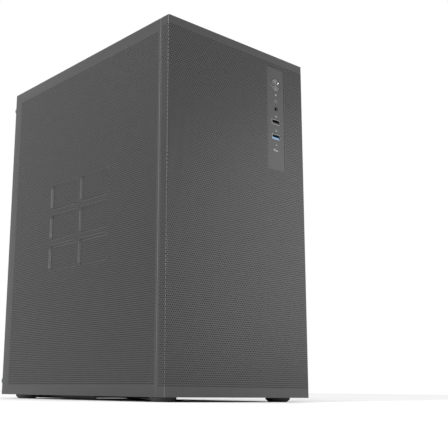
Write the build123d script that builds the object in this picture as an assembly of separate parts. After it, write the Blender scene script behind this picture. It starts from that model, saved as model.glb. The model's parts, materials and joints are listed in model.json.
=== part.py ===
from build123d import *

import os
from math import cos, radians, sin

# Mesh-sided micro-ATX desktop tower, modelled as its separate pieces in millimetres.
# The origin is the centre of the overall box on the floor: +Z up, the front cover faces -Y, and
# the motherboard tray stands on the +X side, so the -X side panel is the one that opens.

# ---------------------------------------------------------------- driving dimensions
WIDTH = 203.0
DEPTH = 305.0
SHELL_HEIGHT = 378.0
FOOT_HEIGHT = 4.5
SHEET = 0.8
GAP = 0.3
SCREW_HEAD = 6.5  # length of a thumbscrew's head, the only thing proud of the rear face

X_OUT = WIDTH / 2
Y_FRONT = -(DEPTH + SCREW_HEAD) / 2
Y_REAR = Y_FRONT + DEPTH
Z_LOW = FOOT_HEIGHT
Z_TOP = FOOT_HEIGHT + SHELL_HEIGHT

# front cover
RETURN_DEPTH = 12.0  # how far the front sheet folds back along the sides
Y_SEAM = Y_FRONT + RETURN_DEPTH + 0.5
Y_RING = Y_FRONT + 3.0  # front of the moulded frame inside the cover
Y_SCREEN = (Y_FRONT + 1.6, Y_FRONT + 2.6)
CLIP_RADIUS = 2.6

# chassis
CHASSIS_HALF = 95.5
STEP_HALF = 91.2  # half width of the raised middle of the floor and the top
LEDGE = SHEET + GAP  # how far the ledges stand back, so that the panels' flanges pass outside them
Y_PLATE = Y_FRONT + 13.0  # front face of the chassis front plate
Y_PLATE_IN = Y_PLATE + SHEET
Y_BACK = Y_REAR - LEDGE
Y_INSIDE = Y_BACK - SHEET
Y_LEDGE = (Y_PLATE_IN + 0.1, Y_INSIDE - 0.1)
Z_FLOOR = Z_LOW + LEDGE
Z_CEILING = Z_TOP - LEDGE
X_TRAY = 77.0
SHROUD_TOP = 99.0
SHROUD_LEFT = -94.0
Y_TRAY = (Y_FRONT + 41.0, Y_INSIDE - 0.1)
Z_TRAY = (Z_LOW + SHEET + 0.1, Z_CEILING - SHEET - 0.1)

# side panels
FLANGE = 10.0
FRONT_FLANGE = 5.0
REAR_FLANGE = 15.0
SCREW_INSET = 8.0
SCREW_HEIGHTS = {"lower": Z_LOW + 16.0, "upper": Z_TOP - 18.0}
DIMPLE_AREA = (114.0, 101.0)  # along Y and Z, centred on the side
DIMPLE_GRID = (2, 3)
DIMPLE_GAP = 6.0
DIMPLE_DEPTH = 1.6
DIMPLE_RADIUS = 5.0

# control strip on the front
STRIP_X = 56.6
STRIP_WIDTH = 25.8
STRIP_Z = (249.9, 368.6)
STRIP_THICK = 1.6
Y_STRIP = Y_FRONT + 0.3  # outer face of the strip, just behind the cover's
Z_POWER = 348.5
Z_LED = 336.8
Z_JACK = 320.2
Z_USB2 = 304.9
Z_USB3 = 287.7
Z_USBC = 272.9
POWER_RADIUS = 7.5
POWER_TRAVEL = 1.5
LED_RADIUS = 1.2
JACK_BORE = 1.8
JACK_DEPTH = 14.0
Y_PORT = Y_STRIP + 0.3  # mouth of each socket
Y_IO_BOARD = Y_FRONT + 18.0

# fans: (size, thickness, bore radius, hole spacing)
FAN_120 = (120.0, 25.0, 58.0, 105.0)
FAN_92 = (92.0, 25.0, 44.5, 82.5)
SHAFT = 1.5
BEARING = 1.55
FRONT_FAN_X = -20.0
FRONT_FAN_Z = {"lower": 178.0, "upper": 300.0}
REAR_FAN_X = -30.0
REAR_FAN_Z = 300.0

# dust filters
FILTER_X = -13.0
FILTER_WIDTH = 104.0
FILTER_Y = (Y_REAR - 146.0, Y_REAR - 4.0)
FILTER_Z = (2.1, 4.1)
TOP_FILTER_X = (-72.0, 72.0)
TOP_FILTER_Y = (Y_FRONT + 42.0, Y_REAR - 34.0)
POCKET = 1.0

# power supply
PSU = (150.0, 140.0, 86.0)
PSU_X = (-88.0, 62.0)
PSU_Y = (Y_INSIDE - PSU[1], Y_INSIDE)
PSU_Z = (7.5, 93.5)
PSU_OPENING_X = (-77.0, 51.0)  # opening in the rear sheet behind which the supply is screwed
PSU_OPENING_Z = (11.5, 89.5)
PSU_MID = (-13.0, 50.5)
PSU_FAN_Y = Y_INSIDE - 70.0
PSU_SCREWS = [(PSU_MID[0] + a * 69.0, PSU_MID[1] + b * 37.0) for a in (-1, 1) for b in (-1, 1)]
INLET = (27.0, 68.5)
ROCKER = (27.0, 36.5)
ROCKER_RADIUS = 8.2
ROCKER_TILT = 12.0
Y_ROCKER = Y_INSIDE - 4.0

# motherboard, with its expansion slots
BOARD = 244.0
X_BOARD = (69.7, 71.3)
Y_BOARD = Y_INSIDE - 1.5
Z_BOARD = 108.0
SLOT_PITCH = 20.32
SLOT_Z = [172.7 - SLOT_PITCH * i for i in range(4)]
SLOT_X = (-42.0, 60.0)
SLOT_SCREW_X = SLOT_X[0] - 5.0
COVER_X = (-51.0, 64.0)
IO_X = (27.5, 72.0)
IO_Z = (188.0, 346.8)
CPU_Y = 54.0
CPU_Z = 290.0
MEMORY_Y = (-26.0, -36.0)

# rear ports, each (low z, high z, how far it stands off the board, kind)
REAR_PORTS = [
    (197.0, 207.4, 12.0, "audio"),
    (208.4, 218.8, 12.0, "audio"),
    (219.8, 230.2, 12.0, "audio"),
    (233.0, 249.0, 13.5, "network"),
    (253.0, 269.0, 16.0, "usb"),
    (273.0, 289.0, 16.0, "usb"),
    (293.0, 309.0, 8.0, "video"),
    (315.0, 331.0, 16.0, "usb"),
]

# graphics card
CARD_X = (-41.0, 58.0)
CARD_Y = (-65.0, 145.0)
CARD_Z = SLOT_Z[0] + 2.5
CARD_FAN_Y = 30.0
CARD_FAN_X = 6.0

# drive
DRIVE_X = (-87.5, 59.5)
DRIVE_Y = (-111.8, -10.2)
DRIVE_Z = (24.0, 50.1)


# ---------------------------------------------------------------- helpers
def block(x, y, z):
    """A box from three (low, high) pairs."""
    size = [abs(pair[1] - pair[0]) for pair in (x, y, z)]
    middle = [(pair[0] + pair[1]) / 2 for pair in (x, y, z)]
    return Pos(*middle) * Box(*size)


def rod_x(x, y, z, radius):
    """A cylinder along X, from x[0] to x[1]."""
    return Pos((x[0] + x[1]) / 2, y, z) * Rot(0, 90, 0) * Cylinder(radius, x[1] - x[0])


def rod_y(x, y, z, radius):
    """A cylinder along Y, from y[0] to y[1]."""
    return Pos(x, (y[0] + y[1]) / 2, z) * Rot(90, 0, 0) * Cylinder(radius, y[1] - y[0])


def rod_z(x, y, z, radius):
    """A cylinder along Z, from z[0] to z[1]."""
    return Pos(x, y, (z[0] + z[1]) / 2) * Cylinder(radius, z[1] - z[0])


def wall_x(x, sketch):
    """A sketch in (y, z) made into a wall from x[0] to x[1]."""
    plane = Plane(origin=(x[0], 0, 0), x_dir=(0, 1, 0), z_dir=(1, 0, 0))
    return extrude(plane * sketch, amount=x[1] - x[0])


def wall_y(y, sketch):
    """A sketch in (x, z) made into a wall from y[0] to y[1]."""
    plane = Plane(origin=(0, y[1], 0), x_dir=(1, 0, 0), z_dir=(0, -1, 0))
    return extrude(plane * sketch, amount=y[1] - y[0])


def wall_z(z, sketch):
    """A sketch in (x, y) made into a wall from z[0] to z[1]."""
    return extrude(Plane.XY.offset(z[0]) * sketch, amount=z[1] - z[0])


def rect(u, v):
    """A rectangle sketch from two (low, high) pairs."""
    return Pos((u[0] + u[1]) / 2, (v[0] + v[1]) / 2) * Rectangle(u[1] - u[0], v[1] - v[0])


def soft_rect(u, v, radius):
    """A rectangle sketch with round corners."""
    shape = RectangleRounded(u[1] - u[0], v[1] - v[0], radius)
    return Pos((u[0] + u[1]) / 2, (v[0] + v[1]) / 2) * shape


def around(pair, margin):
    """A (low, high) pair grown by margin on both sides."""
    return pair[0] - margin, pair[1] + margin


def about(middle, half):
    """The (low, high) pair around a middle."""
    return middle - half, middle + half


def dots(points, radius):
    """Circles at points."""
    return [Pos(*p) * Circle(radius) for p in points]


def square_points(u, v, spacing):
    """The four corners of a square bolt pattern round (u, v)."""
    half = spacing / 2
    return [(u + a, v + b) for a in (-half, half) for b in (-half, half)]


def honeycomb(u, v, pitch, keep=lambda a, b: True):
    """The points of a hexagonal grid inside the (low, high) pairs where keep(u, v) is true."""
    rise = pitch * cos(radians(30))
    rows = int((v[1] - v[0]) / rise)
    columns = int((u[1] - u[0]) / pitch)
    start = ((u[0] + u[1] - columns * pitch) / 2, (v[0] + v[1] - rows * rise) / 2)
    places = []
    for r in range(rows + 1):
        for c in range(columns + 1):
            place = (start[0] + (c + r % 2 / 2) * pitch, start[1] + r * rise)
            if place[0] <= u[1] and keep(*place):
                places.append(place)
    return places


def slots(u, v, pitch, width):
    """Round-ended slots along u, stacked along v."""
    count = int((v[1] - v[0]) / pitch)
    start = (v[0] + v[1] - (count - 1) * pitch) / 2
    middle = (u[0] + u[1]) / 2
    return [Pos(middle, start + i * pitch) * SlotOverall(u[1] - u[0], width) for i in range(count)]


def cut(outline, holes):
    """A sketch less a list of sketches."""
    for hole in holes:
        outline -= hole
    return outline


def group(parts):
    """Several separate solids as one node."""
    return Compound(children=[solid for part in parts for solid in part.solids()])


# ---------------------------------------------------------------- chassis
def stepped_sheet(outer, inner, y, middle, ledge):
    """A sheet whose middle stands at one height and whose two side ledges at another."""
    edge = STEP_HALF - SHEET
    sheet = wall_z(middle, inner)
    rise = (min(middle[0], ledge[0]), max(middle[1], ledge[1]))
    for side in (-1, 1):
        riser = block((side * edge, side * STEP_HALF), y, rise)
        sheet += riser + block((side * edge, side * outer), y, ledge)
    return sheet


def foot_points():
    """Where the four feet stand, in (x, y)."""
    x = X_OUT - 20.4
    return [(s * x, y) for s in (-1, 1) for y in (Y_FRONT + 27.2, Y_REAR - 25.9)]


def filter_rail(side):
    """One of the two L-shaped rails that the bottom filter slides in."""
    x = FILTER_X + side * (FILTER_WIDTH / 2 + GAP)
    y = (FILTER_Y[0], FILTER_Y[1] - 10)
    web = block((x, x + side * 1.2), y, (1.0, Z_LOW))
    return web + block((x - side * 2.5, x + side * 1.2), y, (1.0, 1.7))


def chassis_floor():
    """Folded bottom sheet with the supply's intake slots, foot holes and the filter's rails."""
    intake = slots(about(FILTER_X, 42), about(PSU_FAN_Y, 55), 9.0, 4.5)
    middle = cut(rect((-STEP_HALF, STEP_HALF), (Y_PLATE, Y_BACK)), dots(foot_points(), 2.6) + intake)
    ledge = (Z_FLOOR, Z_FLOOR + SHEET)
    sheet = stepped_sheet(CHASSIS_HALF, middle, Y_LEDGE, (Z_LOW, Z_LOW + SHEET), ledge)
    return sheet + filter_rail(-1) + filter_rail(1)


def chassis_top():
    """Top sheet with the shallow pocket of the magnetic filter and its vent slots."""
    pocket = soft_rect(TOP_FILTER_X, TOP_FILTER_Y, 6)
    lip = soft_rect(around(TOP_FILTER_X, SHEET), around(TOP_FILTER_Y, SHEET), 6 + SHEET)
    vents = slots((-60, 60), around(TOP_FILTER_Y, -12), 11.0, 5.5)
    middle = rect((-STEP_HALF, STEP_HALF), (Y_PLATE, Y_BACK)) - pocket
    ledge = (Z_CEILING - SHEET, Z_CEILING)
    sheet = stepped_sheet(CHASSIS_HALF, middle, Y_LEDGE, (Z_TOP - SHEET, Z_TOP), ledge)
    sheet += wall_z((Z_TOP - POCKET - SHEET, Z_TOP), lip - pocket)
    return sheet + wall_z((Z_TOP - POCKET - SHEET, Z_TOP - POCKET), cut(pocket, vents))


def thumbscrew_points():
    """Where the four side-panel screws pass the rear sheet, in (x, z)."""
    return [(s * (X_OUT - SCREW_INSET), z) for s in (-1, 1) for z in SCREW_HEIGHTS.values()]


def chassis_rear():
    """Rear sheet: fan grille, port opening, four slot openings, supply opening, screw holes."""
    reach = FAN_92[2]
    grille = honeycomb(
        about(REAR_FAN_X, reach),
        about(REAR_FAN_Z, reach),
        8.6,
        lambda u, v: (u - REAR_FAN_X) ** 2 + (v - REAR_FAN_Z) ** 2 < (reach - 4) ** 2,
    )
    holes = [Pos(*p) * RegularPolygon(3.9, 6) for p in grille]
    holes += [rect(IO_X, IO_Z), rect(PSU_OPENING_X, PSU_OPENING_Z)]
    holes += [rect(SLOT_X, about(z, 7)) for z in SLOT_Z]
    holes += dots(square_points(REAR_FAN_X, REAR_FAN_Z, FAN_92[3]), 2.2)
    holes += dots(thumbscrew_points(), 1.95) + dots(PSU_SCREWS, 1.8)
    holes += dots([(SLOT_SCREW_X, z) for z in SLOT_Z], 1.6)
    outline = rect((-CHASSIS_HALF, CHASSIS_HALF), (Z_FLOOR, Z_CEILING - SHEET - 0.1))
    return wall_y((Y_INSIDE, Y_BACK), cut(outline, holes))


def clip_points():
    """The six clips of the front cover, in (x, z)."""
    return [(s * 88.0, z) for s in (-1, 1) for z in (20.0, 194.0, 372.0)]


def chassis_front():
    """Front plate with round fan openings, the opening for the control strip and clip holes."""
    holes = dots(clip_points(), CLIP_RADIUS + 0.4)
    for z in FRONT_FAN_Z.values():
        holes += dots([(FRONT_FAN_X, z)], FAN_120[2] - 1)
        holes += dots(square_points(FRONT_FAN_X, z, FAN_120[3]), 2.2)
    holes += [rect(about(STRIP_X, STRIP_WIDTH / 2 - 1.5), around(STRIP_Z, -3))]
    holes += slots((-70, 70), (22, 96), 10.0, 5.0)
    outline = rect((-CHASSIS_HALF, CHASSIS_HALF), (Z_FLOOR, Z_CEILING))
    return wall_y((Y_PLATE, Y_PLATE_IN), cut(outline, holes))


def standoff_points():
    """The micro-ATX hole pattern, in (y, z)."""
    columns = (Y_BOARD - 6.35, Y_BOARD - 163.8, Y_BOARD - 233.0)
    rows = (Z_BOARD + 9.5, Z_BOARD + 83.0, Z_BOARD + 234.0)
    return [(y, z) for y in columns for z in rows]


def motherboard_tray():
    """Upright sheet with the cooler's back opening, cable openings and stand-off holes."""
    holes = [soft_rect(about(CPU_Y, 55), about(CPU_Z, 50), 10)]
    holes += [soft_rect((-112.0, -101.5), about(z, 28), 4) for z in (150.0, 276.0)]
    holes += dots(standoff_points(), 1.6)
    return wall_x((X_TRAY, X_TRAY + SHEET), cut(rect(Y_TRAY, Z_TRAY), holes))


def psu_shroud():
    """Cover over the supply and the drive: a vented top and a folded left wall."""
    vents = dots(honeycomb((-80, 30), (-20, 60), 12.0), 4.0)
    vents += [soft_rect((52, 72), (-100, -60), 6)]
    top = cut(rect((SHROUD_LEFT, X_TRAY - 0.1), Y_TRAY), vents)
    window = soft_rect((Y_TRAY[0] + 18, Y_TRAY[0] + 100), (32, 76), 6)
    left = rect((Y_TRAY[0], Y_TRAY[1] - 6), (Z_FLOOR + SHEET + 0.1, SHROUD_TOP)) - window
    return wall_z((SHROUD_TOP - SHEET, SHROUD_TOP), top) + wall_x((SHROUD_LEFT, SHROUD_LEFT + SHEET), left)


def feet():
    """Four low round feet, wider at the top, each on a peg through the floor."""
    solids = []
    for x, y in foot_points():
        pad = loft([Pos(x, y, 0) * Circle(9.8), Pos(x, y, 2.6) * Circle(13.2)])
        rim = rod_z(x, y, (2.6, Z_LOW), 13.2)
        solids.append(pad + rim + rod_z(x, y, (Z_LOW, Z_LOW + 2.4), 2.5))
    return group(solids)


def slot_cover(z):
    """Blank bracket behind one expansion slot."""
    plate = rect(COVER_X, about(z, 9.2)) - Pos(SLOT_SCREW_X, z) * Circle(1.6)
    return wall_y((Y_INSIDE - 0.9, Y_INSIDE - 0.1), plate)


def slot_covers():
    """The blank brackets of the two unused slots."""
    return group([slot_cover(z) for z in SLOT_Z[2:]])


def pan_screw(x, y, z, way, length, shank, head):
    """Pan-head screw along Y: the head's underside is at y and the shank runs way (-1 or 1)."""
    ends = sorted((y, y + way * length))
    top = sorted((y, y - way * 1.8))
    groove = sorted((y - way * 0.9, y - way * 2.0))
    cap = rod_y(x, top, z, head) - block(about(x, 0.5), groove, about(z, head - 1))
    return cap + rod_y(x, ends, z, shank)


def case_screws():
    """Fan, supply, slot and motherboard screws."""
    screws = []
    for z in FRONT_FAN_Z.values():
        for u, v in square_points(FRONT_FAN_X, z, FAN_120[3]):
            screws.append(pan_screw(u, Y_PLATE, v, 1, 8, 1.9, 3.4))
    for u, v in square_points(REAR_FAN_X, REAR_FAN_Z, FAN_92[3]):
        screws.append(pan_screw(u, Y_BACK, v, -1, 8, 1.9, 3.4))
    for u, v in PSU_SCREWS:
        screws.append(pan_screw(u, Y_BACK, v, -1, 6, 1.45, 3.2))
    for z in SLOT_Z:
        screws.append(pan_screw(SLOT_SCREW_X, Y_BACK, z, -1, 5, 1.45, 3.0))
    for y, z in standoff_points():
        head = rod_x((X_BOARD[0] - 1.8, X_BOARD[0]), y, z, 3.0)
        screws.append(head + rod_x((X_BOARD[0], X_BOARD[1] + 4), y, z, 1.35))
    return group(screws)


def standoffs():
    """Hexagonal spacers between the tray and the motherboard, with their studs and bores."""
    spacers = []
    for y, z in standoff_points():
        spacer = wall_x((X_BOARD[1], X_TRAY), Pos(y, z) * RegularPolygon(2.9, 6))
        spacer += rod_x((X_TRAY, X_TRAY + 3), y, z, 1.5)
        spacers.append(spacer - rod_x((X_BOARD[1] - 1, X_BOARD[1] + 4.8), y, z, 1.45))
    return group(spacers)


# ---------------------------------------------------------------- dust filters
def bottom_filter():
    """Slide-out filter under the supply: a thin frame, its fine screen and a pull tab."""
    x = about(FILTER_X, FILTER_WIDTH / 2)
    rim = rect(x, FILTER_Y) - rect(around(x, -6), around(FILTER_Y, -6))
    screen = rect(around(x, -5), around(FILTER_Y, -5))
    tab = block(about(FILTER_X, 12), (FILTER_Y[1], Y_REAR - 0.5), FILTER_Z)
    return wall_z(FILTER_Z, rim) + wall_z((2.9, 3.3), screen) + tab


def top_filter():
    """Magnetic filter that lies in the shallow pocket of the top."""
    outline = soft_rect(around(TOP_FILTER_X, -0.4), around(TOP_FILTER_Y, -0.4), 5.6)
    return wall_z((Z_TOP - POCKET, Z_TOP - 0.05), outline)


def front_filter():
    """Fine screen behind the front sheet, cut out round the control strip."""
    outline = rect(about(0, X_OUT - SHEET - 0.4), (Z_LOW + 1.4, Z_TOP - 1.4))
    return wall_y(Y_SCREEN, outline - rect(*strip_hole(1.0)))


# ---------------------------------------------------------------- side panels
def across(side, far, near):
    """The sorted x pair between two distances from the middle, on one side."""
    return sorted((side * far, side * near))


def dimples():
    """The (y, z) pairs of each pressed rectangle."""
    middle = ((Y_FRONT + Y_REAR) / 2, (Z_LOW + Z_TOP) / 2)
    sizes = [(DIMPLE_AREA[i] - (DIMPLE_GRID[i] - 1) * DIMPLE_GAP) / DIMPLE_GRID[i] for i in range(2)]
    found = []
    for column in range(DIMPLE_GRID[0]):
        for row in range(DIMPLE_GRID[1]):
            y = middle[0] - DIMPLE_AREA[0] / 2 + column * (sizes[0] + DIMPLE_GAP)
            z = middle[1] - DIMPLE_AREA[1] / 2 + row * (sizes[1] + DIMPLE_GAP)
            found.append(((y, y + sizes[0]), (z, z + sizes[1])))
    return found


def side_panel(side):
    """Perforated side sheet with four folded edges and pressed dimples. side is -1 or 1."""
    y, z = (Y_SEAM, Y_REAR), (Z_LOW, Z_TOP)
    panel = block(across(side, X_OUT, X_OUT - SHEET), y, z)
    panel += block(across(side, X_OUT, X_OUT - FLANGE), y, (Z_LOW, Z_LOW + SHEET))
    panel += block(across(side, X_OUT, X_OUT - FLANGE), y, (Z_TOP - SHEET, Z_TOP))
    panel += block(across(side, X_OUT, X_OUT - FRONT_FLANGE), (Y_SEAM, Y_SEAM + SHEET), z)
    panel += block(across(side, X_OUT, X_OUT - REAR_FLANGE), (Y_REAR - SHEET, Y_REAR), z)
    for height in SCREW_HEIGHTS.values():
        panel -= rod_y(side * (X_OUT - SCREW_INSET), (Y_REAR - 2, Y_REAR + 1), height, 2.0)
    floor = X_OUT - DIMPLE_DEPTH
    for u, v in dimples():
        pan = soft_rect(around(u, SHEET), around(v, SHEET), DIMPLE_RADIUS + SHEET)
        panel += wall_x(across(side, X_OUT - SHEET, floor - SHEET), pan)
        panel -= wall_x(across(side, X_OUT + 1, floor), soft_rect(u, v, DIMPLE_RADIUS))
    return panel


def side_liner(side):
    """Fine dust screen behind a side panel."""
    x = across(side, X_OUT - 3.2, X_OUT - 2.7)
    y = (Y_SEAM + SHEET + 0.4, Y_REAR - SHEET - 0.4)
    return block(x, y, (Z_LOW + SHEET + 0.4, Z_TOP - SHEET - 0.4))


def thumbscrew(x, z):
    """Knurled thumbscrew: head outside the flange and shank through the rear sheet."""
    end = Y_REAR + SCREW_HEAD
    head = rod_y(x, (Y_REAR + 0.1, end), z, 5.2)
    for i in range(18):
        angle = radians(i * 20)
        head -= rod_y(x + 5.4 * cos(angle), (Y_REAR + 1.3, end + 1), z + 5.4 * sin(angle), 0.55)
    head -= block(about(x, 3.6), (end - 1.2, end + 1), about(z, 0.6))
    return head + rod_y(x, (Y_INSIDE - 3.5, Y_REAR + 0.2), z, 1.7)


# ---------------------------------------------------------------- front cover
def strip_hole(margin):
    """The (x, z) pairs of the control strip's outline, grown by margin."""
    return about(STRIP_X, STRIP_WIDTH / 2 + margin), around(STRIP_Z, margin)


def front_cover():
    """Folded perforated front sheet with returns on all four sides and the strip's opening."""
    x, y, z = (-X_OUT, X_OUT), (Y_FRONT, Y_FRONT + RETURN_DEPTH), (Z_LOW, Z_TOP)
    outer = block(x, y, z)
    outer = fillet(outer.edges().filter_by(Axis.Z).sort_by(Axis.Y)[:2], 1.2)
    inner = block(around(x, -SHEET), (Y_FRONT + SHEET, y[1] + 1), around(z, -SHEET))
    return outer - inner - wall_y((Y_FRONT - 1, Y_FRONT + 2), rect(*strip_hole(GAP)))


def front_frame():
    """Moulded frame inside the front sheet: a ring, two cross ribs and six clip pins."""
    half = X_OUT - SHEET - 0.1
    z = around((Z_LOW, Z_TOP), -SHEET - 0.1)
    ring = rect((-half, half), z) - rect(about(0, half - 22), around(z, -22))
    ring += rect(about(0, half - 10), (108, 114)) + rect(about(0, half - 10), (236, 242))
    body = wall_y((Y_RING, Y_FRONT + RETURN_DEPTH), ring - rect(*strip_hole(1.2)))
    for x, height in clip_points():
        body += rod_y(x, (Y_FRONT + RETURN_DEPTH - 1, Y_PLATE + 5), height, CLIP_RADIUS)
    return body


# ---------------------------------------------------------------- control strip
def strip_posts():
    """Where the small board is fixed to the strip, in (x, z)."""
    return [(STRIP_X + s * 8.6, z) for s in (-1, 1) for z in (257.5, 328.5)]


def control_strip():
    """Control strip: face plate with its openings, walls back to the plate and four posts."""
    x, z = strip_hole(0)
    holes = dots([(STRIP_X, Z_POWER)], POWER_RADIUS + GAP) + dots([(STRIP_X, Z_LED)], LED_RADIUS + 0.05)
    holes += dots([(STRIP_X, Z_JACK)], 3.05)
    holes += [Pos(STRIP_X, height) * RectangleRounded(14.0, 6.6, 0.6) for height in (Z_USB2, Z_USB3)]
    holes += [Pos(STRIP_X, Z_USBC) * SlotOverall(10.0, 4.2)]
    behind = Y_STRIP + STRIP_THICK - 0.2
    body = wall_y((Y_STRIP, Y_STRIP + STRIP_THICK), cut(rect(x, z), holes))
    body += wall_y((behind, Y_PLATE), rect(x, z) - rect(around(x, -1.4), around(z, -1.4)))
    for px, pz in strip_posts():
        body += rod_y(px, (behind, Y_IO_BOARD), pz, 1.7)
    return body


def front_board():
    """Small circuit board behind the strip, with the switch body and its cable header."""
    board = block(about(STRIP_X, 10.6), (Y_IO_BOARD, Y_IO_BOARD + 1.6), (254.5, 358.0))
    switch = block(about(STRIP_X, 3), (Y_IO_BOARD - 5, Y_IO_BOARD), about(Z_POWER, 3))
    header = block(about(STRIP_X, 8), (Y_IO_BOARD + 1.6, Y_IO_BOARD + 9), (262, 270))
    return board + switch + header


def usb_shell(z):
    """Folded metal shell of a USB type A socket."""
    mouth = RectangleRounded(13.2, 5.8, 0.5) - RectangleRounded(12.5, 5.1, 0.3)
    return wall_y((Y_PORT, Y_IO_BOARD), Pos(STRIP_X, z) * mouth)


def usb_tongue(z):
    """Plastic core of a USB type A socket: its base and the tongue in the lower half."""
    base = block(about(STRIP_X, 6.1), (Y_IO_BOARD - 3, Y_IO_BOARD), about(z, 2.4))
    return base + block(about(STRIP_X, 5.6), (Y_PORT + 1.2, Y_IO_BOARD - 2.9), (z - 1.9, z - 0.1))


def usbc_socket():
    """USB type C socket: slim oval shell with a central tongue."""
    ring = SlotOverall(8.9, 3.2) - SlotOverall(8.3, 2.6)
    shell = wall_y((Y_PORT, Y_IO_BOARD), Pos(STRIP_X, Z_USBC) * ring)
    base = wall_y((Y_IO_BOARD - 3, Y_IO_BOARD), Pos(STRIP_X, Z_USBC) * SlotOverall(8.4, 2.7))
    return shell + base + block(about(STRIP_X, 3.3), (Y_PORT + 1, Y_IO_BOARD - 2.9), about(Z_USBC, 0.35))


def headset_jack():
    """3.5 mm headset socket: a square body with a round nose and its bore."""
    nose = rod_y(STRIP_X, (Y_PORT, Y_FRONT + 5), Z_JACK, 2.95)
    body = block(about(STRIP_X, 4), (Y_FRONT + 4.5, Y_IO_BOARD), about(Z_JACK, 4))
    return nose + body - rod_y(STRIP_X, (Y_FRONT, Y_PORT + JACK_DEPTH), Z_JACK, JACK_BORE)


def power_led():
    """Light pipe from the board to a dot below the power button."""
    return rod_y(STRIP_X, (Y_STRIP - 0.1, Y_IO_BOARD - 0.5), Z_LED, LED_RADIUS)


def power_button():
    """Round button cap with a shallow dish, its retaining flange and its stem."""
    face = Y_STRIP - 0.2
    cap = rod_y(STRIP_X, (face, face + 2), Z_POWER, POWER_RADIUS)
    cap = chamfer(cap.edges().sort_by(Axis.Y)[0], 0.35)
    cap -= Pos(STRIP_X, face - 59.6, Z_POWER) * Sphere(60.0)
    cap += rod_y(STRIP_X, (face + 2.0, face + 2.9), Z_POWER, POWER_RADIUS + 1.2)
    return cap + rod_y(STRIP_X, (face + 1.5, Y_IO_BOARD - 5 - POWER_TRAVEL - 0.1), Z_POWER, 1.8)


# ---------------------------------------------------------------- fans
def fan_frame(fan):
    """Square fan frame along Z from 0: two flanges, a duct, four struts and a motor cup."""
    size, thick, bore, holes = fan
    shape = RectangleRounded(size, size, size * 0.06) - Circle(bore)
    frame = extrude(cut(shape, dots(square_points(0, 0, holes), 2.2)), thick)
    waist = extrude(Rectangle(size + 2, size + 2) - Circle(size * 0.515), thick - 8)
    frame -= Pos(0, 0, 4) * waist
    frame += Pos(0, 0, thick - 1.5) * Cylinder(bore * 0.34, 3.0)
    for i in range(4):
        strut = Pos(bore * 0.66, 0, thick - 1.25) * Box(bore * 0.72, 3.2, 2.5)
        frame += Rot(0, 0, 45 + 90 * i) * strut
    return frame - Pos(0, 0, thick - 1.75) * Cylinder(BEARING, 2.5)


def fan_rotor(radius, hub, height, blades, shaft=1.9, pitch=38.0):
    """Fan rotor along Z from 0: a hub cap, pitched blades and a shaft of the given length."""
    cap = Pos(0, 0, height / 2) * Cylinder(hub, height)
    cap = fillet(cap.edges().sort_by(Axis.Z)[0], 1.5)
    span = radius - hub
    chord = height * 0.88 / sin(radians(pitch))
    ring = Pos(0, 0, height / 2) * (Cylinder(radius, height - 0.6) - Cylinder(hub - 1.5, height))
    for i in range(blades):
        blade = Pos(hub + span / 2, 0, height / 2) * Rot(pitch, 0, -12) * Box(span + 12, chord, 1.5)
        cap += (Rot(0, 0, 360 / blades * i) * blade) & ring
    return cap + Pos(0, 0, height + shaft / 2) * Cylinder(SHAFT, shaft)


def facing_front(shape, x, y, z):
    """Turns a shape made along +Z so that it runs along +Y from y."""
    return Pos(x, y, z) * Rot(-90, 0, 0) * shape


def case_rotor(fan):
    """The rotor of a case fan, made along +Z from the fan's own front face."""
    return Pos(0, 0, 1.2) * fan_rotor(fan[2] - 2.0, fan[2] * 0.33, 20.4, 7)


# ---------------------------------------------------------------- power supply
def psu_case():
    """Folded steel box of the supply with a round fan opening below and a vented rear."""
    body = block(PSU_X, PSU_Y, PSU_Z) - block(around(PSU_X, -1), around(PSU_Y, -1), around(PSU_Z, -1))
    body -= rod_z(PSU_MID[0], PSU_FAN_Y, (PSU_Z[0] - 1, PSU_Z[0] + 2), 57.0)
    grille = honeycomb((-70, 5), (18, 84), 8.0)
    holes = [Pos(*p) * RegularPolygon(3.4, 6) for p in grille] + dots(PSU_SCREWS, 1.6)
    holes += [rect(about(INLET[0], 14.2), about(INLET[1], 10.7))]
    holes += [rect(about(ROCKER[0], 6.8), about(ROCKER[1], 9.8))]
    body -= wall_y((PSU_Y[1] - 2, PSU_Y[1] + 1), Sketch() + holes)
    return body - block((7, 47), (PSU_Y[0] - 1, PSU_Y[0] + 2), (60, 88))


def psu_guard():
    """Wire guard over the supply's fan, and the bar above the rotor that carries its motor."""
    z = PSU_Z[0] + 1.6
    at = Pos(PSU_MID[0], PSU_FAN_Y, z)
    guard = at * Rot(0, 0, 45) * Box(118, 1.6, 1.2) + at * Rot(0, 0, 135) * Box(118, 1.6, 1.2)
    for radius in (16.0, 26.0, 36.0, 46.0, 56.0):
        guard += at * (Cylinder(radius + 0.8, 1.2) - Cylinder(radius - 0.8, 1.2))
    bar = block(around(PSU_X, -1.1), about(PSU_FAN_Y, 8), (PSU_Z[0] + 24.6, PSU_Z[0] + 27))
    return group([guard, bar - rod_z(PSU_MID[0], PSU_FAN_Y, (PSU_Z[0] + 24, PSU_Z[0] + 28), BEARING)])


def psu_rotor():
    """Rotor inside the supply, which draws air up through the guard."""
    return Pos(PSU_MID[0], PSU_FAN_Y, PSU_Z[0] + 4) * fan_rotor(54.0, 19.0, 20.0, 9)


def psu_inlet():
    """Mains inlet with its three pins, set back in the housing."""
    x, z = INLET
    body = block(about(x, 14), (Y_INSIDE - 22, Y_INSIDE + 0.6), about(z, 10.5))
    body -= block(about(x, 12), (Y_INSIDE - 20, Y_INSIDE + 1), about(z, 8.2))
    for dx, dz in ((-7, -2), (0, 2), (7, -2)):
        body += block(about(x + dx, 1), (Y_INSIDE - 20.5, Y_INSIDE - 6), about(z + dz, 2.4))
    return body


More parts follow.
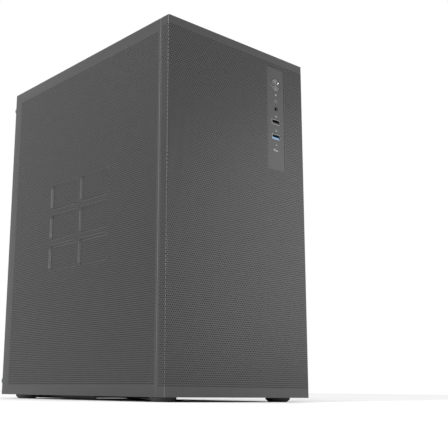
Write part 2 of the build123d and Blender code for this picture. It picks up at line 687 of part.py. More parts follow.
def psu_switch():
    """Housing of the supply's switch, with bores for the rocker's pin."""
    x, z = ROCKER
    body = block(about(x, 6.6), (Y_INSIDE - 14, Y_INSIDE + 0.6), about(z, 9.6))
    body -= block(about(x, 5.4), (Y_INSIDE - 13, Y_INSIDE + 1), about(z, 8.6))
    return body - rod_x(about(x, 7), Y_ROCKER, z, 1.05)


def psu_rocker():
    """Rocker of the supply's switch, tilted to the on side about its pin."""
    x, z = ROCKER
    body = rod_x(about(x, 5), Y_ROCKER, z, ROCKER_RADIUS)
    body &= block(about(x, 6), (Y_ROCKER - 2.5, Y_ROCKER + 9), about(z, 9))
    for side in (-1, 1):
        slope = Rot(-side * ROCKER_TILT, 0, 0) * Pos(0, 5, side * 10) * Box(12, 10, 20)
        body -= Pos(x, Y_ROCKER + 4.2, z) * slope
    body += rod_x(about(x, 6.4), Y_ROCKER, z, 1.0)
    return Pos(x, Y_ROCKER, z) * Rot(ROCKER_TILT, 0, 0) * Pos(-x, -Y_ROCKER, -z) * body


# ---------------------------------------------------------------- motherboard
def motherboard():
    """Board with its processor socket, memory slots, card slots, connectors and heat sinks."""
    face = X_BOARD[0]
    outline = rect((Y_BOARD - BOARD, Y_BOARD), (Z_BOARD, Z_BOARD + BOARD))
    body = wall_x(X_BOARD, cut(outline, dots(standoff_points(), 1.7)))

    def part(height, y, z):
        return block((face - height, face + 0.1), y, z)

    body += part(5.0, about(CPU_Y, 22), about(CPU_Z, 22))
    for y in MEMORY_Y:
        slot = part(8.0, about(y, 3.5), (198, 338))
        body += slot - block((face - 9, face - 3), about(y, 0.9), (200, 336))
    for z in (CARD_Z + 0.8, SLOT_Z[2] + 3.3):
        slot = part(10.8, (50, 133), about(z, 3.7))
        body += slot - block((face - 12, face - 4), (51, 132), about(z, 1.0))
    body += part(11.0, (-96, -86), (265, 318)) + part(9.0, (-97, -90), (130, 160))
    body += part(9.0, (-96, -88), (207, 221)) + part(10.0, (-76, -36), (118, 134))
    for i in range(6):
        body += part(24.0, (90 + i * 3.4, 92 + i * 3.4), (258, 322))
    body += part(4.0, (88, 111), (256, 324)) + rod_x((face - 3.6, face + 0.1), 96, 132, 10.0)
    for i in range(7):
        body += rod_x((face - 9, face + 0.1), 84, 262 + i * 9, 3.0)
    return body


def cpu():
    """Processor: carrier plate and heat spreader on the socket."""
    carrier = block((X_BOARD[0] - 6.2, X_BOARD[0] - 5), about(CPU_Y, 18), about(CPU_Z, 18))
    return carrier + block((X_BOARD[0] - 8.6, X_BOARD[0] - 6.2), about(CPU_Y, 15), about(CPU_Z, 15))


def cpu_cooler():
    """Tower heat sink: a base on the processor, four heat pipes and a stack of fins."""
    base_x = X_BOARD[0] - 8.6
    body = block((base_x - 9, base_x), about(CPU_Y, 20), about(CPU_Z, 29))
    for dy in (-12, 12):
        for dz in (-24, 24):
            body += rod_x((-55, base_x - 2), CPU_Y + dy, CPU_Z + dz, 3.0)
    for i in range(26):
        x = -53 + i * 3.6
        body += block((x, x + 0.6), about(CPU_Y, 25), about(CPU_Z, 46))
    return body


def memory_modules():
    """Two memory modules in their slots."""
    face = X_BOARD[0]
    return group([block((face - 36, face - 3.2), about(y, 0.7), (201, 335)) for y in MEMORY_Y])


def port_block(low, high, height, kind):
    """One rear port: a housing on the board with the mouth of its kind."""
    x = (X_BOARD[0] - height, X_BOARD[0] - 0.05)
    body = block(x, (Y_BOARD - 18, Y_BACK + 0.6), (low, high))
    middle = ((x[0] + x[1]) / 2, (low + high) / 2)
    mouth = (Y_BACK - 12, Y_BACK + 1)
    if kind == "audio":
        return body - rod_y(middle[0], mouth, middle[1], JACK_BORE)
    if kind == "network":
        return body - block(around(x, -1.2), mouth, about(middle[1], 6))
    if kind == "video":
        return body - block(around(x, -1.5), mouth, about(middle[1], 6.8))
    for x_mid in (middle[0] - 4, middle[0] + 4):
        body -= block(about(x_mid, 2.55), mouth, about(middle[1], 6.25))
        body += block(about(x_mid + 1, 0.9), (mouth[0] - 0.1, Y_BACK - 1), about(middle[1], 5.6))
    return body


def rear_ports():
    """The housings of the motherboard's rear sockets."""
    return group([port_block(*port) for port in REAR_PORTS])


def io_shield():
    """Thin plate that fills the rear port opening round the sockets."""
    plate = rect(around(IO_X, -0.2), around(IO_Z, -0.2))
    x = X_BOARD[0]
    holes = [rect((x - port[2] - 0.3, x + 0.2), around(port[:2], 0.3)) for port in REAR_PORTS]
    return wall_y((Y_INSIDE + 0.1, Y_BACK - 0.1), cut(plate, holes))


# ---------------------------------------------------------------- graphics card
def graphics_board():
    """Card with its edge connector, video sockets, processor and finned heat sink."""
    top = CARD_Z + 1.6
    body = block(CARD_X, CARD_Y, (CARD_Z, top)) + block((57.9, 64.5), (53, 130), (CARD_Z, top))
    body += block((2, 40), (20, 58), (CARD_Z - 4, CARD_Z + 0.1))
    for i in range(20):
        y = -58 + i * 9.4
        body += block((-34, 46), (y, y + 0.8), (CARD_Z - 16, CARD_Z - 3))
    body += block((-34, 46), (-58, 121.4), (CARD_Z - 5.5, CARD_Z - 3))
    for x in (-20, 2, 24):
        body += block(about(x, 8.5), (128, Y_INSIDE + 0.3), (CARD_Z - 6.5, CARD_Z + 0.1))
    return body


def graphics_shroud():
    """Moulded cover under the card with a round fan opening, struts and the rotor's bearing."""
    x, y, z = (-40, 52), (-64, 125), (CARD_Z - 34, CARD_Z - 1)
    body = block(x, y, z) - block(around(x, -1.6), around(y, -1.6), (z[0] + 1.6, z[1] + 1))
    body -= rod_z(CARD_FAN_X, CARD_FAN_Y, (z[0] - 1, z[0] + 3), 43.0)
    motor = rod_z(CARD_FAN_X, CARD_FAN_Y, (CARD_Z - 19.4, CARD_Z - 17.2), 12.0)
    arm = block((-38.5, 50.5), about(CARD_FAN_Y, 2), (CARD_Z - 18.8, CARD_Z - 17.2))
    return body + motor + arm - rod_z(CARD_FAN_X, CARD_FAN_Y, (CARD_Z - 20, CARD_Z - 17.5), BEARING)


def graphics_rotor():
    """Rotor of the card's fan, which blows up on to the heat sink."""
    return Pos(CARD_FAN_X, CARD_FAN_Y, CARD_Z - 33.5) * fan_rotor(42.0, 15.0, 13.6, 9, shaft=1.6, pitch=32.0)


def graphics_bracket():
    """Double-width bracket with its video socket openings and exhaust slots."""
    plate = rect(COVER_X, (SLOT_Z[1] - 9.2, SLOT_Z[0] + 9.2))
    holes = dots([(SLOT_SCREW_X, z) for z in SLOT_Z[:2]], 1.6)
    holes += [rect(about(x, 8.8), (CARD_Z - 6.8, CARD_Z + 0.4)) for x in (-20, 2, 24)]
    holes += slots((-32, 44), (SLOT_Z[1] - 5, SLOT_Z[1] + 7), 4.0, 2.2)
    return wall_y((Y_INSIDE - 0.9, Y_INSIDE - 0.1), cut(plate, holes))


# ---------------------------------------------------------------- drive and wiring
def drive_cage():
    """Folded cradle on the floor with shelf tabs under the drive."""
    x = (DRIVE_X[0] - 2.5, DRIVE_X[1] + 2.5)
    y = (DRIVE_Y[0] + 4, DRIVE_Y[1] - 4)
    base = Z_LOW + SHEET + 0.1
    body = block(x, y, (base, base + 1))
    for side, edge in ((1, x[0]), (-1, x[1])):
        body += block((edge, edge + side), y, (base, 60))
        body += block((edge, edge + side * 8), y, (DRIVE_Z[0] - 1.2, DRIVE_Z[0] - 0.2))
    return body


def hard_drive():
    """3.5 inch drive: cast body, raised lid and the board side's connector step."""
    body = block(DRIVE_X, DRIVE_Y, DRIVE_Z)
    body = fillet(body.edges().filter_by(Axis.Z), 3.0)
    body -= block(around(DRIVE_X, -3), around(DRIVE_Y, -3), (DRIVE_Z[1] - 1, DRIVE_Z[1] + 1))
    body += block(around(DRIVE_X, -8), around(DRIVE_Y, -8), (DRIVE_Z[1] - 1.1, DRIVE_Z[1] - 0.2))
    return body - block((10, 52), (DRIVE_Y[1] - 6, DRIVE_Y[1] + 1), (DRIVE_Z[0] - 1, DRIVE_Z[0] + 5))


def lead(points, radius):
    """A lead along straight runs joined by tangent arcs, as large as its runs allow."""
    radii = []
    for before, corner, after in zip(points, points[1:], points[2:]):
        runs = (Vector(*corner) - Vector(*before), Vector(*after) - Vector(*corner))
        half_turn = radians(runs[0].get_angle(runs[1])) / 2
        radii.append(0.45 * min(run.length for run in runs) * cos(half_turn) / sin(half_turn))
    path = FilletPolyline(*points, radius=radii)
    return sweep(Plane(origin=path @ 0, z_dir=path % 0) * Circle(radius), path=path)


def wiring():
    """The board's power lead from the supply and the front board's lead."""
    power = [(27, PSU_Y[0] + 2, 75), (30, -28, 76), (58, -76, 80), (56, -86, 130)]
    power += [(47, -104, 196), (38, -105, 262), (34, -91, 293), (58, -91, 293)]
    front = [(STRIP_X, Y_IO_BOARD + 9.3, 266), (STRIP_X, -113, 264), (62, -108, 236)]
    front += [(64, -107, 214), (64, -96.6, 214)]
    return group([lead(power, 4.5), lead(front, 2.2)])


# ---------------------------------------------------------------- the nodes
NODES = {
    "chassis_floor": chassis_floor(),
    "chassis_top": chassis_top(),
    "chassis_rear": chassis_rear(),
    "chassis_front": chassis_front(),
    "motherboard_tray": motherboard_tray(),
    "psu_shroud": psu_shroud(),
    "feet": feet(),
    "slot_covers": slot_covers(),
    "case_screws": case_screws(),
    "standoffs": standoffs(),
    "bottom_filter": bottom_filter(),
    "top_filter": top_filter(),
    "front_filter": front_filter(),
    "front_cover": front_cover(),
    "front_frame": front_frame(),
    "control_strip": control_strip(),
    "front_board": front_board(),
    "usb2_shell": usb_shell(Z_USB2),
    "usb2_tongue": usb_tongue(Z_USB2),
    "usb3_shell": usb_shell(Z_USB3),
    "usb3_tongue": usb_tongue(Z_USB3),
    "usbc_socket": usbc_socket(),
    "headset_jack": headset_jack(),
    "power_led": power_led(),
    "power_button": power_button(),
    "rear_fan_frame": facing_front(fan_frame(FAN_92), REAR_FAN_X, Y_INSIDE - FAN_92[1], REAR_FAN_Z),
    "rear_fan_rotor": facing_front(case_rotor(FAN_92), REAR_FAN_X, Y_INSIDE - FAN_92[1], REAR_FAN_Z),
    "psu_case": psu_case(),
    "psu_guard": psu_guard(),
    "psu_rotor": psu_rotor(),
    "psu_inlet": psu_inlet(),
    "psu_switch": psu_switch(),
    "psu_rocker": psu_rocker(),
    "motherboard": motherboard(),
    "cpu": cpu(),
    "cpu_cooler": cpu_cooler(),
    "cpu_fan_frame": facing_front(fan_frame(FAN_92), -6.0, CPU_Y - 25.2 - FAN_92[1], CPU_Z),
    "cpu_fan_rotor": facing_front(case_rotor(FAN_92), -6.0, CPU_Y - 25.2 - FAN_92[1], CPU_Z),
    "memory_modules": memory_modules(),
    "rear_ports": rear_ports(),
    "io_shield": io_shield(),
    "graphics_board": graphics_board(),
    "graphics_shroud": graphics_shroud(),
    "graphics_rotor": graphics_rotor(),
    "graphics_bracket": graphics_bracket(),
    "drive_cage": drive_cage(),
    "hard_drive": hard_drive(),
    "wiring": wiring(),
}
for name, side in (("left", -1), ("right", 1)):
    NODES[f"{name}_panel"] = side_panel(side)
    NODES[f"{name}_liner"] = side_liner(side)
    for place, height in SCREW_HEIGHTS.items():
        NODES[f"{name}_{place}_thumbscrew"] = thumbscrew(side * (X_OUT - SCREW_INSET), height)
for place, height in FRONT_FAN_Z.items():
    NODES[f"{place}_front_fan_frame"] = facing_front(fan_frame(FAN_120), FRONT_FAN_X, Y_PLATE_IN, height)
    NODES[f"{place}_front_fan_rotor"] = facing_front(case_rotor(FAN_120), FRONT_FAN_X, Y_PLATE_IN, height)

os.makedirs("parts", exist_ok=True)
for name, shape in NODES.items():
    export_step(shape, f"parts/{name}.step")
print(len(NODES), "nodes")
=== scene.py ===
import json
from math import cos, pi, radians, sin, sqrt

import bmesh
import bpy
import numpy as np
from mathutils import Matrix, Vector, geometry


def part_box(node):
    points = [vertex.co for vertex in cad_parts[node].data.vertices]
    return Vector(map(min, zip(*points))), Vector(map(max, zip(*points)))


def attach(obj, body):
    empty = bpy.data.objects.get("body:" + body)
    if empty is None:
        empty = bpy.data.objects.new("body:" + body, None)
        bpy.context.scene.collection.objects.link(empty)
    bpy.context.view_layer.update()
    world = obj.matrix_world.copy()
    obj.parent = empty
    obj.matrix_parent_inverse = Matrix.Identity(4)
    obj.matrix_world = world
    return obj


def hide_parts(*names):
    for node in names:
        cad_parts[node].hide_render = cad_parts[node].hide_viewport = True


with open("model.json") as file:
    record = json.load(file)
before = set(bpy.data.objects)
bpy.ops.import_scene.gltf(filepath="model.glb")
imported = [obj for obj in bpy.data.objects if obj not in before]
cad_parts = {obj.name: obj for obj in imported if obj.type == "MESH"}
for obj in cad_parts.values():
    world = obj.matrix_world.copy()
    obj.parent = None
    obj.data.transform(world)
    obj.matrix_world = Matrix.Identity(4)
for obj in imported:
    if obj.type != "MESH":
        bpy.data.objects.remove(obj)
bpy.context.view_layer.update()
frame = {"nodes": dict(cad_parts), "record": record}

MM = 0.001

# ---------------------------------------------------------------- sizes taken from the frame
SHEET = 0.8 * MM
SIDE_LOW, SIDE_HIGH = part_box("left_panel")
COVER_LOW, COVER_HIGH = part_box("front_cover")
X_OUT = COVER_HIGH.x
Z_LOW, Z_TOP = COVER_LOW.z, COVER_HIGH.z
HEIGHT = Z_TOP - Z_LOW
Y_FRONT = COVER_LOW.y

PITCH = 2.4 * MM  # between neighbouring holes
HOLE = 1.15 * MM  # across the flats of a hexagonal hole
RISE = PITCH * sqrt(3) / 2
PANEL_BEND = 1.2 * MM  # outer radius of a side panel's folded edges
COVER_BEND = 2.0 * MM
BEND_STEPS = 6
FLANGE = 10 * MM  # depth of the plain edges folded in at the top and bottom of a side
EDGE = 0.15 * MM  # rounding of a cut sheet's edges

DIMPLE_SIZE = (114 * MM, 101 * MM)
DIMPLE_GRID = (2, 3)
DIMPLE_GAP = 6 * MM
DIMPLE_DEPTH = 1.6 * MM
DIMPLE_RADIUS = 5 * MM
DIMPLE_WALL = 1.3 * MM  # width of the slope round each rectangle
WALL_CLEARANCE = 0.1 * MM  # between a slope and the nearest hole


# ---------------------------------------------------------------- mesh helpers
def new_object(name, mesh):
    piece = bpy.data.objects.new(name, mesh)
    bpy.context.scene.collection.objects.link(piece)
    return piece


def from_bmesh(name, bm):
    mesh = bpy.data.meshes.new(name)
    bmesh.ops.recalc_face_normals(bm, faces=bm.faces)
    bm.to_mesh(mesh)
    bm.free()
    return new_object(name, mesh)


def smooth(piece, degrees=30):
    """Smooth shading with a hard edge wherever two faces meet at more than this angle."""
    piece.data.shade_smooth()
    piece.data.set_sharp_from_angle(angle=radians(degrees))
    return piece


def finish_piece(piece, body, slot, material, *replaced):
    """Gives a piece its material and its body, and hides the CAD nodes that it stands for."""
    piece.data.materials.clear()
    piece.data.materials.append(material)
    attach(piece, body)
    if replaced:
        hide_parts(*replaced)
    return piece


def add_block(bm, low, high, bevel=0.0, segments=2):
    """A box between two corners, with its edges rounded by bevel."""
    low, high = Vector(low), Vector(high)
    made = bmesh.ops.create_cube(bm, size=1.0)["verts"]
    bmesh.ops.scale(bm, verts=made, vec=high - low)
    bmesh.ops.translate(bm, verts=made, vec=(low + high) / 2)
    if bevel:
        edges = list({edge for vert in made for edge in vert.link_edges})
        bmesh.ops.bevel(bm, geom=edges, offset=bevel, segments=segments, affect="EDGES", profile=0.5)


def lathe(bm, profile, centre, axis, steps=64):
    """Turns (radius, height) points about an axis through centre. A radius of 0 closes an end."""
    turn = Vector((0, 0, 1)).rotation_difference(Vector(axis)).to_matrix()
    rings = []
    for radius, height in profile:
        if radius == 0:
            rings.append([bm.verts.new(Vector(centre) + turn @ Vector((0, 0, height)))])
            continue
        angles = [2 * pi * i / steps for i in range(steps)]
        spots = [Vector((radius * cos(a), radius * sin(a), height)) for a in angles]
        rings.append([bm.verts.new(Vector(centre) + turn @ spot) for spot in spots])
    for ring, after in zip(rings, rings[1:]):
        for i in range(steps):
            corners = [ring[i % len(ring)], ring[(i + 1) % len(ring)]]
            corners += [after[(i + 1) % len(after)], after[i % len(after)]]
            unique = list(dict.fromkeys(corners))
            if len(unique) > 2:
                bm.faces.new(unique)


# ---------------------------------------------------------------- perforated folded sheets
class Holes:
    """A staggered grid of hexagonal holes that lie wholly inside the (low, high) pairs u and v."""

    def __init__(self, u, v, clear):
        rows = int((v[1] - v[0] - 2 * HOLE / sqrt(3)) / RISE)
        columns = int((u[1] - u[0] - HOLE - PITCH / 2) / PITCH)
        self.u = (u[0] + u[1] - (columns + 0.5) * PITCH) / 2
        self.v = (v[0] + v[1] - rows * RISE) / 2
        row, column = np.mgrid[0 : rows + 1, 0 : columns + 1]
        self.kept = clear(*self.centre(row, column))

    def centre(self, row, column):
        return self.u + (column + row % 2 / 2) * PITCH, self.v + row * RISE

    def centres(self, v_range):
        """The centres of the holes between two heights."""
        u, v = self.centre(*np.nonzero(self.kept))
        inside = (v > v_range[0]) & (v < v_range[1])
        return np.stack([u[inside], v[inside]], -1)

    def cover(self, u, v):
        """True for the points that lie in a hole."""
        row = np.clip(np.round((v - self.v) / RISE).astype(int), 0, self.kept.shape[0] - 1)
        column = np.round((u - self.u) / PITCH - row % 2 / 2).astype(int)
        column = np.clip(column, 0, self.kept.shape[1] - 1)
        middle_u, middle_v = self.centre(row, column)
        du, dv = np.abs(u - middle_u), np.abs(v - middle_v)
        return self.kept[row, column] & (np.maximum(du, du / 2 + dv * sqrt(3) / 2) < HOLE / 2)

    def gap(self, wanted):
        """The height midway between two rows that is nearest to a wanted height."""
        return self.v + (round((wanted - self.v) / RISE - 0.5) + 0.5) * RISE


def rectangle_distance(u, v, low, high, radius):
    """Signed distance from points to a rounded rectangle's outline, negative inside."""
    middle = ((low[0] + high[0]) / 2, (low[1] + high[1]) / 2)
    half = ((high[0] - low[0]) / 2 - radius, (high[1] - low[1]) / 2 - radius)
    du, dv = np.abs(u - middle[0]) - half[0], np.abs(v - middle[1]) - half[1]
    outside = np.hypot(np.maximum(du, 0), np.maximum(dv, 0))
    return outside + np.minimum(np.maximum(du, dv), 0) - radius


def rounded_loop(low, high, radius, steps=7):
    """Points round a rounded rectangle."""
    corners = (
        (high[0] - radius, high[1] - radius, 0),
        (low[0] + radius, high[1] - radius, pi / 2),
        (low[0] + radius, low[1] + radius, pi),
        (high[0] - radius, low[1] + radius, 3 * pi / 2),
    )
    loop = []
    for u, v, start in corners:
        turns = [start + pi / 2 * i / steps for i in range(steps + 1)]
        loop += [(u + radius * cos(t), v + radius * sin(t)) for t in turns]
    return loop


def circle_loop(centre, radius, steps=24):
    angles = [2 * pi * i / steps for i in range(steps)]
    return [(centre[0] + radius * cos(a), centre[1] + radius * sin(a)) for a in angles]


class Fold:
    """A sheet folded back at both ends of its width, measured along the unfolded sheet by u.

    u is 0 at one outer corner of the flat face and width at the other."""

    def __init__(self, width, near_flange, far_flange, bend):
        self.width, self.bend = width, bend
        arc = bend * pi / 2
        self.near = bend - arc - (near_flange - bend)
        self.far = width - bend + arc + (far_flange - bend)
        steps = [arc * i / BEND_STEPS for i in range(BEND_STEPS + 1)]
        self.lines = [self.near, self.far] + [bend - s for s in steps] + [width - bend + s for s in steps]
        self.lines.sort()

    def place(self, u, depth):
        """Turns points of the unfolded sheet into (across, back), depth below its outer face."""
        beyond = np.maximum(u - self.width + self.bend, 0) + np.minimum(u - self.bend, 0)
        turn = np.clip(beyond / self.bend, -pi / 2, pi / 2)
        straight = np.maximum(np.abs(beyond) - self.bend * pi / 2, 0)
        across = np.clip(u, self.bend, self.width - self.bend) + (self.bend - depth) * np.sin(turn)
        return across, self.bend - (self.bend - depth) * np.cos(turn) + straight


def sheet_outline(fold, v_range, rings, windows, centres):
    """Points and edges of a flat sheet, with the number of the window that each point belongs to."""
    points = [(u, v) for u in fold.lines for v in v_range]
    edges = [(2 * i, 2 * i + 1) for i in range(len(fold.lines))]
    edges += [(i, i + 2) for i in range(2 * len(fold.lines) - 2)]
    owner = [-1] * len(points)
    corners = [(cos(radians(30 + 60 * k)), sin(radians(30 + 60 * k))) for k in range(6)]
    reach = HOLE / sqrt(3)
    hexagons = [[(u + reach * a, v + reach * b) for a, b in corners] for u, v in centres]
    numbers = list(range(len(windows))) + [-1] * (len(rings) + len(hexagons))
    for number, loop in zip(numbers, [*windows, *rings, *hexagons]):
        start = len(points)
        points.extend(loop)
        owner.extend([number] * len(loop))
        edges.extend((start + i, start + (i + 1) % len(loop)) for i in range(len(loop)))
    return points, edges, owner


def sheet_triangles(points, edges, owner, holes):
    """Triangulates a flat sheet and leaves out its holes and windows."""
    scaled = [Vector((u / MM, v / MM)) for u, v in points]
    flat, _, faces, sources, _, _ = geometry.delaunay_2d_cdt(scaled, edges, [], 0, 1e-5, True)
    flat = np.array([tuple(p) for p in flat]) * MM
    owner = np.array([owner[source[0]] if source else -1 for source in sources])
    triangles = np.array([tuple(face) for face in faces])
    owned = owner[triangles]
    in_window = (owned[:, 0] >= 0) & (owned == owned[:, :1]).all(1)
    middle = flat[triangles].mean(1)
    triangles = triangles[~in_window & ~holes.cover(middle[:, 0], middle[:, 1])]
    a, b, c = (flat[triangles[:, i]] for i in range(3))
    area = (b[:, 0] - a[:, 0]) * (c[:, 1] - a[:, 1]) - (b[:, 1] - a[:, 1]) * (c[:, 0] - a[:, 0])
    triangles[area < 0] = triangles[area < 0][:, ::-1]
    return flat, triangles[np.abs(area) > 1e-14]


def folded_sheet(name, fold, v_range, holes, place, rings=(), windows=(), sink=None, flip=False):
    """A closed folded sheet SHEET thick between two heights, with its hexagonal holes.

    rings are lines kept as edges, windows are convex openings, sink gives how far the face is
    pressed in at (u, v), and place turns (across, back, v) arrays into points."""
    outline = sheet_outline(fold, v_range, rings, windows, holes.centres(v_range))
    flat, triangles = sheet_triangles(*outline, holes)
    if flip:
        triangles = triangles[:, ::-1]
    count = len(flat)
    u, v = flat[:, 0], flat[:, 1]
    pressed = np.zeros(count) if sink is None else sink(u, v)
    skins = []
    for depth in (0.0, SHEET):
        across, back = fold.place(u, np.full(count, depth))
        skins.append(place(across, back + pressed, v))
    sides = np.concatenate([triangles[:, [0, 1]], triangles[:, [1, 2]], triangles[:, [2, 0]]])
    keys = sides[:, 0].astype(np.int64) * count + sides[:, 1]
    twins = sides[:, 1].astype(np.int64) * count + sides[:, 0]
    rim = sides[~np.isin(keys, twins)]
    walls = np.stack([rim[:, 1], rim[:, 0], rim[:, 0] + count, rim[:, 1] + count], -1)
    back_faces = triangles[:, ::-1] + count
    mesh = bpy.data.meshes.new(name)
    every_face = [*triangles.tolist(), *back_faces.tolist(), *walls.tolist()]
    mesh.from_pydata(np.concatenate(skins).tolist(), [], every_face)
    mesh.validate()
    return smooth(new_object(name, mesh), 35)


# ---------------------------------------------------------------- side panels
PANEL_WIDTH = SIDE_HIGH.y - SIDE_LOW.y
FRONT_FLANGE, REAR_FLANGE = 5 * MM, 15 * MM
PANEL_FOLD = Fold(PANEL_WIDTH, FRONT_FLANGE, REAR_FLANGE, PANEL_BEND)
BORDER_FRONT, BORDER_REAR = 2.6 * MM, 14.4 * MM  # plain margins round the perforated field
BORDER_BOTTOM, BORDER_TOP = 11.5 * MM, 13.5 * MM
PANEL_FIELD = ((BORDER_FRONT, PANEL_WIDTH - BORDER_REAR), (BORDER_BOTTOM, HEIGHT - BORDER_TOP))
SCREW_INSET, SCREW_RADIUS = 8 * MM, 2 * MM
SCREW_HOLE = PANEL_WIDTH - PANEL_BEND + PANEL_BEND * pi / 2 + (SCREW_INSET - PANEL_BEND)
SCREW_HEIGHTS = (16 * MM, HEIGHT - 18 * MM)
BAND_SHARES = (0.23, 0.73)  # of the height, where the sheet is cut into bands off the pressed rectangles


def dimple_boxes():
    """The (low, high) corners of each pressed rectangle, in the panel's own (u, v)."""
    middle = ((COVER_LOW.y + SIDE_HIGH.y) / 2 - SIDE_LOW.y, HEIGHT / 2)
    size = [(DIMPLE_SIZE[i] - (DIMPLE_GRID[i] - 1) * DIMPLE_GAP) / DIMPLE_GRID[i] for i in (0, 1)]
    boxes = []
    for column in range(DIMPLE_GRID[0]):
        for row in range(DIMPLE_GRID[1]):
            u = middle[0] - DIMPLE_SIZE[0] / 2 + column * (size[0] + DIMPLE_GAP)
            v = middle[1] - DIMPLE_SIZE[1] / 2 + row * (size[1] + DIMPLE_GAP)
            boxes.append(((u, v), (u + size[0], v + size[1])))
    return boxes


def press_in(u, v):
    """How far the side panel's face is pressed in at each point."""
    depth = np.zeros(len(u))
    for low, high in dimple_boxes():
        inside = -rectangle_distance(u, v, low, high, DIMPLE_RADIUS)
        share = np.clip(inside / DIMPLE_WALL, 0, 1)
        depth = np.maximum(depth, DIMPLE_DEPTH * share * share * (3 - 2 * share))
    return depth


def clear_of_walls(u, v):
    """True where a hole stays off the sloping walls of the pressed rectangles."""
    margin = HOLE / sqrt(3) + WALL_CLEARANCE
    clear = np.ones(u.shape, bool)
    for low, high in dimple_boxes():
        distance = rectangle_distance(u, v, low, high, DIMPLE_RADIUS)
        clear &= (distance > margin) | (distance < -DIMPLE_WALL - margin)
    return clear


def dimple_rings(v_range):
    """Lines down the walls of the pressed rectangles inside a range of heights."""
    rings = []
    for low, high in dimple_boxes():
        if v_range[0] < low[1] < v_range[1]:
            for share in (0.0, 0.3, 0.7, 1.0):
                inset = DIMPLE_WALL * share
                inner_low = (low[0] + inset, low[1] + inset)
                inner_high = (high[0] - inset, high[1] - inset)
                rings.append(rounded_loop(inner_low, inner_high, DIMPLE_RADIUS - inset))
    return rings


def bands(holes, wanted):
    """Ranges of heights between the sheet's ends, cut midway between rows near the wanted heights."""
    cuts = [0.0, *[holes.gap(height) for height in wanted], HEIGHT]
    return list(zip(cuts, cuts[1:]))


def side_panel(side, material):
    """One perforated side: its sheet in four heights, so that no mesh is too heavy, and its flanges."""
    name = "left" if side < 0 else "right"
    holes = Holes(*PANEL_FIELD, clear_of_walls)
    lowest_row = min(high[1] for _, high in dimple_boxes())
    cuts = (HEIGHT * BAND_SHARES[0], lowest_row + DIMPLE_GAP / 2, HEIGHT * BAND_SHARES[1])

    def place(across, back, v):
        return np.stack([side * (X_OUT - back), SIDE_LOW.y + across, Z_LOW + v], -1)

    for number, v_range in enumerate(bands(holes, cuts), 1):
        heights = [height for height in SCREW_HEIGHTS if v_range[0] < height < v_range[1]]
        screws = [circle_loop((SCREW_HOLE, height), SCREW_RADIUS) for height in heights]
        rings = dimple_rings(v_range)
        label = f"{name}_panel_band_{number}"
        piece = folded_sheet(label, PANEL_FOLD, v_range, holes, place, rings, screws, press_in, side < 0)
        finish_piece(piece, f"{name}_side", "shell_paint", material, f"{name}_panel")
    bm = bmesh.new()
    for low in (Z_LOW, Z_TOP - SHEET):
        x = sorted((side * (X_OUT - SHEET), side * (X_OUT - FLANGE)))
        y = (SIDE_LOW.y + SHEET, SIDE_HIGH.y - SHEET)
        add_block(bm, (x[0], y[0], low), (x[1], y[1], low + SHEET), EDGE)
    finish_piece(smooth(from_bmesh(f"{name}_panel_flanges", bm)), f"{name}_side", "shell_paint", material)


# ---------------------------------------------------------------- front cover
COVER_DEPTH = COVER_HIGH.y - COVER_LOW.y
COVER_FOLD = Fold(2 * X_OUT, COVER_DEPTH, COVER_DEPTH, COVER_BEND)
COVER_BORDERS = (9.6 * MM, 9.0 * MM)  # plain margins at the bottom and top
COVER_END = 1.4 * MM  # plain margin at the rear edge of each side return
COVER_SHARES = (0.32, 0.63)  # of the height, where the sheet is cut into bands
STRIP_LOW, STRIP_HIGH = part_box("control_strip")
STRIP_CLEARANCE = 0.3 * MM
STRIP_CORNER = 0.5 * MM
STRIP_MARGIN = 0.4 * MM  # between the opening and the nearest hole


def strip_window():
    """The control strip's opening in the front sheet, in the sheet's own (u, v)."""
    low = (STRIP_LOW.x - STRIP_CLEARANCE + X_OUT, STRIP_LOW.z - STRIP_CLEARANCE - Z_LOW)
    high = (STRIP_HIGH.x + STRIP_CLEARANCE + X_OUT, STRIP_HIGH.z + STRIP_CLEARANCE - Z_LOW)
    return low, high


def clear_of_strip(u, v):
    low, high = strip_window()
    return rectangle_distance(u, v, low, high, 0.1 * MM) > HOLE / sqrt(3) + STRIP_MARGIN


def front_cover(material):
    """The perforated front sheet, folded back at its sides, and its plain top and bottom returns."""
    field = (COVER_FOLD.near + COVER_END, COVER_FOLD.far - COVER_END)
    holes = Holes(field, (COVER_BORDERS[0], HEIGHT - COVER_BORDERS[1]), clear_of_strip)
    low, high = strip_window()

    def place(across, back, v):
        return np.stack([across - X_OUT, Y_FRONT + back, Z_LOW + v], -1)

    for number, v_range in enumerate(bands(holes, [HEIGHT * share for share in COVER_SHARES]), 1):
        windows = [rounded_loop(low, high, STRIP_CORNER, 3)] if v_range[1] > high[1] else []
        piece = folded_sheet(f"front_cover_band_{number}", COVER_FOLD, v_range, holes, place, (), windows)
        finish_piece(piece, "front", "shell_paint", material, "front_cover")
    bm = bmesh.new()
    for low_z in (Z_LOW, Z_TOP - SHEET):
        y = (Y_FRONT + SHEET, COVER_HIGH.y)
        add_block(bm, (SHEET - X_OUT, y[0], low_z), (X_OUT - SHEET, y[1], low_z + SHEET), EDGE)
    finish_piece(smooth(from_bmesh("front_cover_returns", bm)), "front", "shell_paint", material)


# ---------------------------------------------------------------- power button, feet and printed marks
RIDGE = 0.44 * MM  # spacing of the rings turned in the power button's face
RIDGE_HEIGHT = 0.055 * MM
DISH = 0.3 * MM  # how far the middle of the face lies below its rim
FACE_STEPS = 120
STEM = 1.8 * MM  # radius of the button's stem
FLANGE_BACK, FLANGE_FRONT = -2.9 * MM, -2 * MM  # heights of the button's flange, from its face
FLANGE_WIDTH, LIP = 1.2 * MM, 0.6 * MM  # round the cap, and round the turned face

